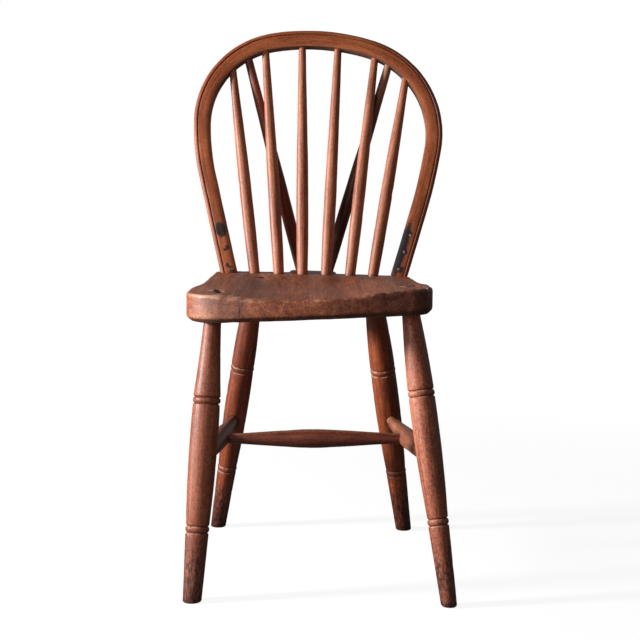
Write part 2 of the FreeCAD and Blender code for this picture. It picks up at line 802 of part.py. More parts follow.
# The fitted pieces, each under the name of its node
bow_whole = doc.addObject("Part::MultiFuse", "bow_whole")
bow_whole.Shapes = [bow_blank] + list(tenons.values())
bow_wedges = []
for hand, side in SIDES:
    wedge = add_wedge("wedge_bow_%s_blank" % hand, tenons[hand], "dims.bow_tenon_radius", 1)
    bow_wedges.append(wedge)
    within = common("wedge_bow_%s_within" % hand, wedge, tenons[hand])
    cut("wedge_bow_" + hand, within, [low_waste])
    cut("stretcher_" + hand, side_blanks[hand], [cross])
cut("bow", cut("bow_flush", bow_whole, [low_waste]), let_in + nails + bow_wedges)
cut("seat", seat_blank, [bow_whole, seat_nail] + let_in + list(leg_blanks.values()))
for name, blank in leg_blanks.items():
    neck = "dims.%s_neck" % name
    kerf = add_wedge("kerf_" + name, blank, neck, 1)
    wedge = add_wedge("wedge_%s_blank" % name, blank, neck, WEDGE_SHARES[name])
    within = common("wedge_%s_within" % name, wedge, blank)
    cut("wedge_" + name, within, [top_waste])
    flush = cut("leg_%s_flush" % name, blank, [top_waste])
    fitted = cut("leg_%s_fitted" % name, flush, [kerf, side_blanks[name.split("_")[1]], floor])
    doc.recompute()
    ease("Part::Chamfer", "leg_" + name, fitted, foot_sizes(fitted.Shape))
group("bow_nails", nails)
doc.recompute()

# Check every object, then write each piece
for item in doc.Objects:
    faults = [flag for flag in item.State if flag in ("Invalid", "Error")]
    if faults:
        raise RuntimeError("%s: %s" % (item.Label, faults))
nodes = ["seat", "bow", "stretcher_cross", "bow_nails", "seat_nail"]
nodes += list(STICKS) + list(BRACES)
nodes += [kind + name for kind in ("leg_", "wedge_") for name in LEGS]
nodes += [kind + hand for kind in ("stretcher_", "wedge_bow_") for hand, side in SIDES]
whole = FreeCAD.BoundBox()
os.makedirs("parts", exist_ok=True)
for node in nodes:
    piece = doc.getObject(node)
    piece.Label = node
    shape = piece.Shape
    if shape.isNull() or not shape.isValid():
        raise RuntimeError("%s has no sound shape" % node)
    whole.add(shape.optimalBoundingBox(False, False))
    shape.exportStep("parts/%s.step" % node)
    print("%-20s %d solid(s) %10.0f mm3" % (node, len(shape.Solids), shape.Volume))
print("overall", whole)
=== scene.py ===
import math

import bpy
from mathutils import Matrix, Vector, noise


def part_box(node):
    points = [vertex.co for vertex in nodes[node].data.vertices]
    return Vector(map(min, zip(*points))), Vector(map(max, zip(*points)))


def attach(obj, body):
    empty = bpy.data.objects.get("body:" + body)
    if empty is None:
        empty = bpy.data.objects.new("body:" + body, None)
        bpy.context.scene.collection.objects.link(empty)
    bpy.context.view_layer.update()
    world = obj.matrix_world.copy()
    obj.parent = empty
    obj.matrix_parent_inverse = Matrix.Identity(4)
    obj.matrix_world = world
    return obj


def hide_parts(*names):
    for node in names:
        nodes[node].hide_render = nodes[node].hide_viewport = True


# Hoop-back stick chair in worn, oiled wood. Metres, +Z up, the front of the chair faces -Y.
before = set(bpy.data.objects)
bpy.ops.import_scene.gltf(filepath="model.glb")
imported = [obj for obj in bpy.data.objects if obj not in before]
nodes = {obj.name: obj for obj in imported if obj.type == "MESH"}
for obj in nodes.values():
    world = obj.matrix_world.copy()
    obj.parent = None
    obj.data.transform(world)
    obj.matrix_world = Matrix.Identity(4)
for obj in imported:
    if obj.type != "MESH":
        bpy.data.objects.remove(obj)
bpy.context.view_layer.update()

# Sizes in millimetres, from the middle of the back, the front edge of the seat and the floor
MM = 0.001
MIDDLE_X = 4.2161
MIDDLE_Y = 202.2754
SEAT_TOP = 448.0
SEAT_THICK = 40.0
BACK_LEVEL = 445.0
BACK_LINE_Y = 339.0
RAKE = math.radians(12.2)
SEAT_BACK_Y = 356.0
WARP_UNDER = (3.0, -1.0)
LEG_UPPER_RING = 119.8
LEG_LOWER_RING = 306.3
RING_HALF = 4.7

# Where each leg leaves the seat and meets the floor, how far its rings are dropped, and its radii
# at the neck, the throat, the belly, the ankle and the toe
LEGS = {
    "front_left": ((-145.0, 59.0), (-167.6, -15.5), -0.3, (12.3, 15.9, 20.4, 17.0, 12.1)),
    "front_right": ((145.0, 60.0), (202.6, -23.3), -1.3, (12.3, 17.2, 19.6, 15.0, 10.8)),
    "back_left": ((-100.0, 302.0), (-164.1, 399.9), 2.4, (13.0, 17.9, 19.6, 16.0, 12.1)),
    "back_right": ((99.0, 303.0), (159.8, 393.7), 2.2, (13.6, 19.0, 21.1, 16.8, 12.0)),
}
# Heights of each side stretcher at its front and its back leg
SIDE_STRETCHERS = {"left": (196.0, 200.5), "right": (202.0, 203.5)}
# Foot and head of each stick, in the hoop's raked plane
STICKS = {
    "stick_1": ((-99.2, 0.0), (-138.3, 318.0)),
    "stick_2": ((-58.7, 0.0), (-85.3, 358.0)),
    "stick_3": ((-19.6, 0.0), (-24.7, 372.0)),
    "stick_4": ((20.0, 0.0), (35.0, 372.0)),
    "stick_5": ((59.5, 0.0), (96.8, 360.0)),
    "stick_6": ((97.6, 0.0), (147.6, 319.0)),
}
# Foot of each brace on the tail, and its head in the hoop's plane
BRACES = {
    "brace_left": ((-21.0, 403.0), (-119.5, 382.5)),
    "brace_right": ((20.6, 403.0), (124.7, 373.3)),
}

# Hoop: its crown, and the radius and final turn of each arc on both hands, with the lean of its feet
BOW_CROWN = (-12.9, 404.0)
BOW_ARCS = {
    "left": ((353.0, 10.3), (141.0, 89.7), (384.0, 103.4)),
    "right": ((353.0, 17.1), (153.0, 99.1), (903.0, 106.2)),
}
BOW_LEAN = {"left": 13.4, "right": 16.2}
BOW_HALF_WIDTH = 13.75
BOW_HALF_DEPTH = 13.0
BOW_FOOT_LEVEL = -8.0
BOW_STATION = 4.0
SIDES = {"left": -1, "right": 1}

# Heights at which a stick's radius is given: its foot's end, above its socket, its swell and where it fines
FOOT_END = -24.0
FOOT_LEVEL = -6.0
SWELL_LEVEL = 110.0
HEAD_LEVEL = 235.0
# How uneven each kind of piece is: broad swells, small ones and dents, in metres
LEG_WEAR = (0.00022, 0.00007, 0.0014)
ROUND_WEAR = (0.00028, 0.00008, 0.0012)
BOW_WEAR = (0.0003, 0.0001, 0.0012)
SEAT_WEAR = (0.0004, 0.00012, 0.001)


def spot(x, y, z):
    """A point given in millimetres."""
    return Vector((x - MIDDLE_X, y - MIDDLE_Y, z)) * MM


def warped(x, y, angles):
    """Rise of a face of the warped seat, whose angles are those of its front and back edges."""
    return x * math.tan(math.radians(angles[0] + (angles[1] - angles[0]) * y / SEAT_BACK_Y))


def along(foot, head):
    """Matrix that lays a piece's own Z axis on the line from foot to head, its X axis across the chair."""
    rise = (head - foot).normalized()
    depth = rise.cross(Vector((1, 0, 0))).normalized()
    turned = Matrix((depth.cross(rise), depth, rise)).transposed().to_4x4()
    return Matrix.Translation(foot) @ turned


BACK_PLACE = Matrix.Translation(spot(0, BACK_LINE_Y, BACK_LEVEL)) @ Matrix.Rotation(-RAKE, 4, "X")


def on_back(across, up):
    """A point of the hoop's raked plane, given in millimetres across and up from the seat."""
    return BACK_PLACE @ (Vector((across, 0, up)) * MM)


# Drawing and working a piece
def start_piece(name):
    """A new mesh of one vertex at the origin, ready to draw from."""
    bpy.ops.object.select_all(action="DESELECT")
    bpy.ops.mesh.primitive_plane_add(size=0.01)
    piece = bpy.context.object
    piece.name = name
    piece.data.name = name
    bpy.ops.object.mode_set(mode="EDIT")
    bpy.ops.mesh.select_mode(type="VERT")
    bpy.ops.mesh.select_all(action="SELECT")
    bpy.ops.mesh.merge(type="CENTER")
    return piece


def draw_through(points):
    """Move the selected vertex to the first point and draw a line from it through the others."""
    bpy.ops.transform.translate(value=points[0])
    for start, end in zip(points, points[1:]):
        bpy.ops.mesh.extrude_vertices_move(TRANSFORM_OT_translate={"value": end - start})


def close_up():
    """Join what lies together and turn every face outward."""
    bpy.ops.mesh.select_all(action="SELECT")
    bpy.ops.mesh.remove_doubles(threshold=0.00001)
    bpy.ops.mesh.normals_make_consistent(inside=False)


def put_in_place(piece, placement):
    bpy.ops.object.mode_set(mode="OBJECT")
    piece.matrix_world = placement
    bpy.ops.object.transform_apply(location=True, rotation=True, scale=True)


def pick(piece, wanted):
    """Select the vertices that are wanted, and no others."""
    bpy.ops.object.mode_set(mode="EDIT")
    bpy.ops.mesh.select_all(action="DESELECT")
    bpy.ops.object.mode_set(mode="OBJECT")
    for vertex in piece.data.vertices:
        vertex.select = wanted(vertex.co)
    bpy.ops.object.mode_set(mode="EDIT")


def lathe(name, outline, placement, rounds):
    """Spin an outline, pairs of radius and height in millimetres, about the piece's own Z axis."""
    piece = start_piece(name)
    draw_through([Vector((radius, 0, height)) * MM for radius, height in outline])
    bpy.ops.mesh.select_all(action="SELECT")
    bpy.ops.mesh.spin(steps=rounds, angle=math.tau, center=(0, 0, 0), axis=(0, 0, 1))
    close_up()
    put_in_place(piece, placement)
    return piece


def saw_off(piece, place, facing, ease):
    """Cut away all beyond a plane, close the cut and ease its edge."""
    bpy.ops.object.mode_set(mode="EDIT")
    bpy.ops.mesh.select_all(action="SELECT")
    bpy.ops.mesh.bisect(plane_co=place, plane_no=facing, use_fill=True, clear_outer=True)
    bpy.ops.mesh.bevel(offset=ease, segments=3, affect="EDGES")
    bpy.ops.object.mode_set(mode="OBJECT")


def unevenness(piece, broad, small, dents, shift):
    """Uneven a worked surface: broad swells, small ones and dents, all given in metres."""
    moved = []
    for vertex in piece.data.vertices:
        place = vertex.co + shift
        swell = broad * noise.noise(place * 26) + small * noise.noise(place * 120)
        dent = dents * max(0.0, noise.noise(place * 70 + shift) - 0.35)
        moved.append(vertex.co + vertex.normal * (swell - dent))
    for vertex, place in zip(piece.data.vertices, moved):
        vertex.co = place


def mark_run(piece, run_of):
    """Note at every vertex its place in the wood: across it, through it and along its grain."""
    places = piece.data.attributes.new("run", "FLOAT_VECTOR", "POINT")
    places.data.foreach_set("vector", [size for vertex in piece.data.vertices for size in run_of(vertex.co)])


def smooth(piece, angle):
    bpy.ops.object.select_all(action="DESELECT")
    piece.select_set(True)
    bpy.context.view_layer.objects.active = piece
    bpy.ops.object.shade_smooth_by_angle(angle=math.radians(angle))


def stand_for(piece, node, material):
    """The piece takes the place of a CAD node, with a finish."""
    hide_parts(node)
    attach(piece, "root")
    piece.data.materials.append(material)


def straight(start, end, step):
    """Stations on a line between two pairs, without the first."""
    count = max(1, round(abs(end[1] - start[1]) / step))
    wide = end[0] - start[0]
    high = end[1] - start[1]
    shares = [index / count for index in range(1, count + 1)]
    return [(start[0] + wide * share, start[1] + high * share) for share in shares]


def bowed(start, via, end, step):
    """Stations on the arc through three pairs, without the first."""
    (ax, ay), (bx, by), (cx, cy) = start, via, end
    double = 2 * (ax * (by - cy) + bx * (cy - ay) + cx * (ay - by))
    if abs(double) < 0.01:
        return straight(start, end, step)
    squares = (ax * ax + ay * ay, bx * bx + by * by, cx * cx + cy * cy)
    middle_x = (squares[0] * (by - cy) + squares[1] * (cy - ay) + squares[2] * (ay - by)) / double
    middle_y = (squares[0] * (cx - bx) + squares[1] * (ax - cx) + squares[2] * (bx - ax)) / double
    radius = math.hypot(ax - middle_x, ay - middle_y)
    side = 1 if bx > middle_x else -1
    count = max(2, round(abs(cy - ay) / step))
    stations = []
    for index in range(1, count + 1):
        height = ay + (cy - ay) * index / count
        reach = math.sqrt(max(0.0, radius ** 2 - (height - middle_y) ** 2))
        stations.append((middle_x + side * reach, height))
    return stations


# Half of a ring mark, from its outside to the top of its bead: distance from its middle, and depth
RING_STEPS = (
    (6.9, 0.0), (6.3, 0.12), (5.9, 0.5), (5.3, 1.3), (4.95, 1.75), (4.6, 1.85),
    (4.3, 1.6), (3.8, 0.85), (3.3, 0.45), (2.6, 0.0), (1.4, -0.4), (0.0, -0.5),
)
# Length of the stock below the seat and of the tenon above its underside
LEG_STOCK = 450
TENON_REACH = 60
TENON_RADIUS = 12.0
TENON_SUNK = 0.0003
# Length above the floor that is left plain, so that the foot can be eased
FOOT_CLEAR = 8.0
FOOT_EASE = {"front_left": 0.0018, "front_right": 0.0035, "back_left": 0.0018, "back_right": 0.0022}
TENON_EASE = 0.0006
# The part of each front tenon that has broken away: its ends across the tenon and its depth
BROKEN = {"front_left": (-2.0, 13.0, 5.5), "front_right": (-1.0, 13.0, 4.0)}


def ring_mark(level, radius):
    """Two rounded grooves with a bead between them, from the lower one up."""
    lower = [(radius - depth, level - offset) for offset, depth in RING_STEPS]
    upper = [(radius - depth, level + offset) for offset, depth in RING_STEPS[-2::-1]]
    return lower + upper


def leg_line(name):
    """Ends of a leg's middle line: under the seat and on the floor."""
    head, foot = LEGS[name][:2]
    under = SEAT_TOP - SEAT_THICK + warped(*head, WARP_UNDER)
    return spot(*head, under), spot(*foot, 0)


def leg_point(name, height):
    top, toe_end = leg_line(name)
    return toe_end + (top - toe_end) * (height * MM / top.z)


def rung_ends(hand):
    """Where the middle line of a side stretcher meets those of its front and its back leg."""
    front_height, back_height = SIDE_STRETCHERS[hand]
    return leg_point("front_" + hand, front_height), leg_point("back_" + hand, back_height)


def turn_leg(name):
    """Neck, belly between two ring marks and tapered foot, cut off at the floor and flush with the seat."""
    drop, (neck, throat, belly, ankle, toe) = LEGS[name][2:]
    upper = -LEG_UPPER_RING - drop
    lower = -LEG_LOWER_RING - drop
    reach = RING_STEPS[0][0]
    shoulder = belly - 0.5
    top, toe_end = leg_line(name)
    taper = (ankle - toe) / (lower - reach + LEG_STOCK)
    first = LEG_STOCK - (top - toe_end).length / MM + FOOT_CLEAR
    outline = [(0, -LEG_STOCK), (toe, -LEG_STOCK), (toe + taper * first, first - LEG_STOCK)]
    outline += straight(outline[-1], (ankle, lower - reach), 8)[:-1]
    outline += ring_mark(lower, ankle)
    middle = ((belly + ankle) / 2 + 1.2, upper + (lower - upper) * 0.57)
    outline += bowed((ankle, lower + reach), middle, (shoulder, upper - reach), 7)[:-1]
    outline += ring_mark(upper, shoulder)
    outline += bowed((shoulder, upper + reach), (throat, upper * 0.52), (neck, 8), 6)
    outline += [(TENON_RADIUS, TENON_REACH), (0, TENON_REACH)]
    placement = along(top, top * 2 - toe_end)
    piece = lathe("turned_leg_" + name, outline, placement, 64)
    unevenness(piece, *LEG_WEAR, Vector((0.31, 0.17, 0.23)) * (len(name) + neck))
    saw_off(piece, (0, 0, 0), (0, 0, -1), FOOT_EASE[name])
    saw_off(piece, *tenon_top(name), TENON_EASE)
    if name.startswith("front"):
        hollow_out(piece, placement, name)
    back = placement.inverted()
    mark_run(piece, lambda place: back @ place)
    smooth(piece, 40)
    return piece


def tenon_top(name):
    """A point just under the end of a leg's tenon and the direction it faces, from the CAD leg."""
    leg = nodes["leg_" + name]
    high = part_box("leg_" + name)[1].z
    faces = [face for face in leg.data.polygons if face.center.z > high - 0.005 and face.normal.z > 0.9]
    area = sum(face.area for face in faces)
    place = sum((face.center * face.area for face in faces), Vector()) / area
    facing = sum((face.normal * face.area for face in faces), Vector()).normalized()
    return place - facing * TENON_SUNK, facing


def hollow_out(piece, placement, name):
    """Break away the right part of a front tenon below the seat's top."""
    start, end, depth = BROKEN[name]
    bpy.ops.object.select_all(action="DESELECT")
    bpy.ops.mesh.primitive_cube_add(size=1)
    waste = bpy.context.object
    middle = Vector(((start + end) / 2, 0, 50 - depth)) * MM
    size = Matrix.Diagonal(((end - start) * MM, 0.026, 0.02, 1))
    waste.matrix_world = placement @ Matrix.Translation(middle) @ size
    bite = piece.modifiers.new("break", "BOOLEAN")
    bite.object = waste
    bpy.context.view_layer.objects.active = piece
    bpy.ops.object.modifier_apply(modifier="break")
    bpy.data.objects.remove(waste)


def span_of(node, foot, direction):
    """How far a CAD node reaches along a direction from a point, in millimetres."""
    return max((vertex.co - foot).dot(direction) for vertex in nodes[node].data.vertices) / MM


def shave(name, start, end, radii, shoulder, tip):
    """A swelled stick, with its radii given from its foot up, and the heights of its shoulder and tip."""
    foot_end, foot, swell, head, neck, top = radii
    outline = [(0, FOOT_END), (foot_end, FOOT_END), (foot, FOOT_LEVEL)]
    outline += bowed((foot, FOOT_LEVEL), (swell, SWELL_LEVEL), (head, HEAD_LEVEL), 10)
    outline += straight((head, HEAD_LEVEL), (neck, shoulder), 10)
    outline += [(top, tip), (0, tip)]
    return turned_piece("shaved_" + name, outline, along(start, end), 40)


def turn_stick(name, foot, head):
    start, end = on_back(*foot), on_back(*head)
    reach = span_of(name, start, (end - start).normalized()) - 14
    return shave(name, start, end, (7.5, 8.7, 10.1, 8.8, 6.2, 6.2), reach - 4, reach + 6)


def turn_brace(name, foot, head):
    start, end = spot(*foot, BACK_LEVEL), on_back(*head)
    reach = (end - start).length / MM
    return shave(name, start, end, (8.4, 9.6, 10.6, 8.8, 6.8, 6.4), reach - 16, reach)


def turn_stretcher(name, start, end, inset):
    """Two long tapers that meet in a short round swell."""
    direction = (end - start).normalized()
    span = (end - start).length / MM - 2 * inset
    outline = [(0, 0), (7.4, 0), (7.7, 14)]
    outline += straight((7.7, 14), (14.2, span / 2 - 24), 9)
    outline += bowed((14.2, span / 2 - 24), (14.8, span / 2), (14.2, span / 2 + 24), 6)
    outline += straight((14.2, span / 2 + 24), (7.7, span - 14), 9)
    outline += [(7.4, span), (0, span)]
    return turned_piece("turned_" + name, outline, along(start + direction * inset * MM, end), 48)


def turned_piece(name, outline, placement, rounds):
    """A turned piece with its surface worn and its run noted."""
    piece = lathe(name, outline, placement, rounds)
    unevenness(piece, *ROUND_WEAR, Vector((0.13, 0.29, 0.37)) * len(outline))
    back = placement.inverted()
    mark_run(piece, lambda place: back @ place)
    smooth(piece, 40)
    return piece


# The hoop
def outward(side, angle):
    bend = math.radians(angle)
    return Vector((side * math.sin(bend), 0, math.cos(bend)))


def bow_chain(hand):
    """Arcs of half the hoop, each with its centre, radius, turns and the length before it; then its knee
    and its length."""
    side = SIDES[hand]
    point = Vector((BOW_CROWN[0], 0, BOW_CROWN[1]))
    heading = 0.0
    length = 0.0
    arcs = []
    for radius, final in BOW_ARCS[hand]:
        centre = point - outward(side, heading) * radius
        arcs.append((centre, radius, heading, final, length))
        point = centre + outward(side, final) * radius
        length += radius * math.radians(final - heading)
        heading = final
    return arcs, point, length


def bow_section():
    """The moulded section at the crown, from its inside front corner up: depth and distance outward."""
    wide, deep = BOW_HALF_WIDTH, BOW_HALF_DEPTH

    def corner(depthwise, outwards, size, first):
        middle = (depthwise * (deep - size), outwards * (wide - size))
        turns = [math.radians(first + step * 22.5) for step in range(5)]
        return [(middle[0] + size * math.cos(turn), middle[1] + size * math.sin(turn)) for turn in turns]

    bead = wide - 6.0
    groove = [
        (-deep, bead - 2.4), (-deep + 0.15, bead - 2.0), (-deep + 1.1, bead - 1.35),
        (-deep + 1.4, bead - 1.0), (-deep + 1.1, bead - 0.65), (-deep + 0.15, bead),
        (-deep - 0.05, bead + 0.4),
    ]
    outline = corner(-1, -1, 2.2, 270)[::-1]
    outline += [(-deep, share * wide) for share in (-0.6, -0.3, 0.0, 0.2)]
    outline += groove
    outline += corner(-1, 1, 5.0, 90)[::-1]
    outline += [(share * deep, wide) for share in (-0.3, 0.0, 0.3)]
    outline += corner(1, 1, 4.0, 0)[::-1]
    outline += [(deep, share * wide) for share in (0.35, 0.0, -0.35)]
    outline += corner(1, -1, 4.0, 270)[::-1]
    outline += [(share * deep, -wide) for share in (0.35, 0.0, -0.35)]
    return outline


def hoop_run(place):
    """Where a point of the hoop lies in its wood: outward from its middle line, in depth, and along it."""
    point = place / MM
    hand = "left" if point.x < BOW_CROWN[0] else "right"
    side = SIDES[hand]
    arcs, knee, length = CHAINS[hand]
    for centre, radius, heading, final, before in arcs:
        away = Vector((point.x - centre.x, 0, point.z - centre.z))
        angle = math.degrees(math.atan2(side * away.x, away.z))
        if heading - 1 <= angle <= final:
            gone = before + radius * math.radians(angle - heading)
            return Vector((away.length - radius, point.y, side * gone)) * MM
    down = foot_direction(hand)
    rest = Vector((point.x - knee.x, 0, point.z - knee.z))
    outside = Vector((-side * down.z, 0, side * down.x))
    return Vector((rest.dot(outside), point.y, side * (length + rest.dot(down)))) * MM


def foot_direction(hand):
    lean = math.radians(BOW_LEAN[hand])
    return Vector((-SIDES[hand] * math.sin(lean), 0, -math.cos(lean)))


CHAINS = {hand: bow_chain(hand) for hand in SIDES}


def bend_bow():
    """Lead the section down both halves of the hoop from its crown."""
    crown = Vector((BOW_CROWN[0], 0, BOW_CROWN[1])) * MM
    section = [crown + Vector((0, depth, rise)) * MM for depth, rise in bow_section()]
    piece = start_piece("bent_bow")
    draw_through(section + section[:1])
    bpy.ops.mesh.select_all(action="SELECT")
    bpy.ops.mesh.remove_doubles(threshold=0.00001)
    for hand, side in SIDES.items():
        pick(piece, lambda place: abs(place.x - crown.x) < 0.00001)
        arcs, knee, length = CHAINS[hand]
        for centre, radius, heading, final, before in arcs:
            bend = math.radians(final - heading)
            steps = round(radius * bend / BOW_STATION)
            bpy.ops.mesh.spin(steps=steps, angle=-side * bend, center=centre * MM, axis=(0, 1, 0))
        down = foot_direction(hand)
        drop = down * ((BOW_FOOT_LEVEL - knee.z) / down.z) * MM
        steps = round(drop.length / MM / BOW_STATION)
        for number in range(steps):
            bpy.ops.mesh.extrude_edges_move(TRANSFORM_OT_translate={"value": drop / steps})
        bpy.ops.mesh.edge_face_add()
    close_up()
    bpy.ops.object.mode_set(mode="OBJECT")
    unevenness(piece, *BOW_WEAR, Vector((0.7, 0.2, 0.4)))
    mark_run(piece, hoop_run)
    put_in_place(piece, BACK_PLACE)
    smooth(piece, 35)
    return piece


# The seat, and the size of the cells it is made even with
SEAT_GRAIN = 0.0021
# Where wood has broken away round the front tenons: the middle and half sizes of each chip
CHIP_DEPTH = 0.003
CHIPS = (
    (spot(-134.5, 42, 430), (0.0068, 0.017)),
    (spot(152.0, 88, 430), (0.0065, 0.012)),
)


def carve_seat():
    """The worked plank with its faces made uneven and every arris softened by use."""
    bpy.ops.object.select_all(action="DESELECT")
    piece = bpy.data.objects.new("worn_seat", nodes["seat"].data.copy())
    piece.data.materials.clear()
    bpy.context.scene.collection.objects.link(piece)
    piece.select_set(True)
    bpy.context.view_layer.objects.active = piece
    bpy.ops.object.mode_set(mode="EDIT")
    close_up()
    bpy.ops.object.mode_set(mode="OBJECT")
    remesh = piece.modifiers.new("even", "REMESH")
    remesh.mode = "VOXEL"
    remesh.voxel_size = SEAT_GRAIN
    bpy.ops.object.modifier_apply(modifier="even")
    bpy.ops.object.mode_set(mode="EDIT")
    bpy.ops.mesh.select_all(action="SELECT")
    bpy.ops.mesh.vertices_smooth(factor=0.5, repeat=2)
    bpy.ops.object.mode_set(mode="OBJECT")
    unevenness(piece, *SEAT_WEAR, Vector((0.5, 0.9, 0.1)))
    for middle, sizes in CHIPS:
        chip_out(piece, middle, sizes, CHIP_DEPTH)
    note_ridges(piece)
    mark_run(piece, lambda place: Vector((place.x, place.z, place.y)))
    smooth(piece, 60)
    return piece


def chip_out(piece, middle, sizes, depth):
    """Sink an oval in the top of the seat, where wood has broken away round a tenon."""
    for vertex in piece.data.vertices:
        away = math.hypot((vertex.co.x - middle.x) / sizes[0], (vertex.co.y - middle.y) / sizes[1])
        if away < 1 and vertex.co.z > middle.z:
            vertex.co.z -= depth * min(1.0, 2.5 * (1 - away))


def note_ridges(piece):
    """Note at every vertex how far it stands out from its neighbours, which finds the arrises."""
    vertices = piece.data.vertices
    sums = [Vector() for vertex in vertices]
    counts = [0] * len(vertices)
    for edge in piece.data.edges:
        one, other = edge.vertices
        sums[one] += vertices[other].co
        sums[other] += vertices[one].co
        counts[one] += 1
        counts[other] += 1
    proud = [(vertex.co - total / count).dot(vertex.normal) / MM
             for vertex, total, count in zip(vertices, sums, counts)]
    marks = piece.data.attributes.new("ridge", "FLOAT", "POINT")
    marks.data.foreach_set("value", proud)


# Finishes
def linear(red, green, blue):
    """A colour given as it looks on a screen, 0 to 255, as the light values a finish works in."""
    parts = []
    for level in (red, green, blue):
        share = level / 255
        parts.append(share / 12.92 if share <= 0.04045 else ((share + 0.055) / 1.055) ** 2.4)
    return (*parts, 1.0)


class Signal:
    """A value on its way through a finish. Sums, differences and products of it add Math nodes."""

    def __init__(self, finish, socket):
        self.finish = finish
        self.socket = socket

    def maths(self, operation, *others):
        return self.finish.add("Math", {"operation": operation}, dict(enumerate((self, *others))))

    def __add__(self, other):
        return self.maths("ADD", other)

    def __radd__(self, other):
        return self.maths("ADD", other)

    def __sub__(self, other):
        return self.maths("SUBTRACT", other)

    def __rsub__(self, other):
        return self.finish.add("Math", {"operation": "SUBTRACT"}, {0: other, 1: self})

    def __mul__(self, other):
        return self.maths("MULTIPLY", other)

    def __rmul__(self, other):
        return self.maths("MULTIPLY", other)

    def __abs__(self):
        return self.maths("ABSOLUTE")

    def most(self, other):
        return self.maths("MAXIMUM", other)

    def clear(self, low, high):
        """0 below low and 1 above high, with a smooth rise between. With low above high it falls."""
        settings = {"interpolation_type": "SMOOTHSTEP"}
        return self.finish.add("MapRange", settings, {"Value": self, "From Min": low, "From Max": high})


class Finish:
    """A node tree and the one method that adds any node to it."""

    def __init__(self, tree):
        self.tree = tree

    def add(self, kind, settings=None, inputs=None, output=0):
        """A node with its settings made first, then values or links for its sockets. Gives one output."""
        node = self.tree.nodes.new("ShaderNode" + kind)
        for name, value in (settings or {}).items():
            if name == "stops":
                self.set_stops(node.color_ramp, value)
            else:
                setattr(node, name, value)
        for name, value in (inputs or {}).items():
            self.feed(node.inputs[name], value)
        socket = node.outputs[output] if len(node.outputs) else None
        return Signal(self, socket)

    def set_stops(self, ramp, stops):
        while len(ramp.elements) < len(stops):
            ramp.elements.new(1.0)
        for element, (position, colour) in zip(ramp.elements, stops):
            element.position = position
            element.color = colour

    def feed(self, socket, value):
        if isinstance(value, Signal):
            self.tree.links.new(value.socket, socket)
        else:
            socket.default_value = value

    def noise(self, place, scale, detail=2.0, roughness=0.5):
        sizes = {"Vector": place, "Scale": scale, "Detail": detail, "Roughness": roughness}
        return self.add("TexNoise", {}, sizes, "Fac")

    def stretch(self, place, by):
        """Places squeezed or drawn out along each axis."""
        return self.add("VectorMath", {"operation": "MULTIPLY"}, {0: place, 1: by})

    def shift(self, place, by):
        return self.add("VectorMath", {"operation": "ADD"}, {0: place, 1: by})

    def mix(self, share, one, other):
        return self.add("Mix", {"data_type": "RGBA"}, {0: share, 6: one, 7: other}, 2)

    def darken(self, share, colour, by):
        """A colour multiplied by another, as far as the share goes."""
        settings = {"data_type": "RGBA", "blend_type": "MULTIPLY"}
        return self.add("Mix", settings, {0: share, 6: colour, 7: by}, 2)

    def part(self, place, axis):
        return self.add("SeparateXYZ", {}, {0: place}, axis)

    def away(self, place, middle, sizes):
        """Distance from a spot, with 1 on the oval whose half sizes are given."""
        inverse = [1 / size for size in sizes]
        own = self.stretch(self.shift(place, [-part for part in middle]), inverse)
        return self.add("VectorMath", {"operation": "LENGTH"}, {0: own}, 1)

    def beside(self, place, start, end):
        """Distance of a place from the line through two points."""
        direction = (end - start).normalized()
        own = self.shift(place, -start)
        crossed = self.add("VectorMath", {"operation": "CROSS_PRODUCT"}, {0: own, 1: direction})
        return self.add("VectorMath", {"operation": "LENGTH"}, {0: crossed}, 1)


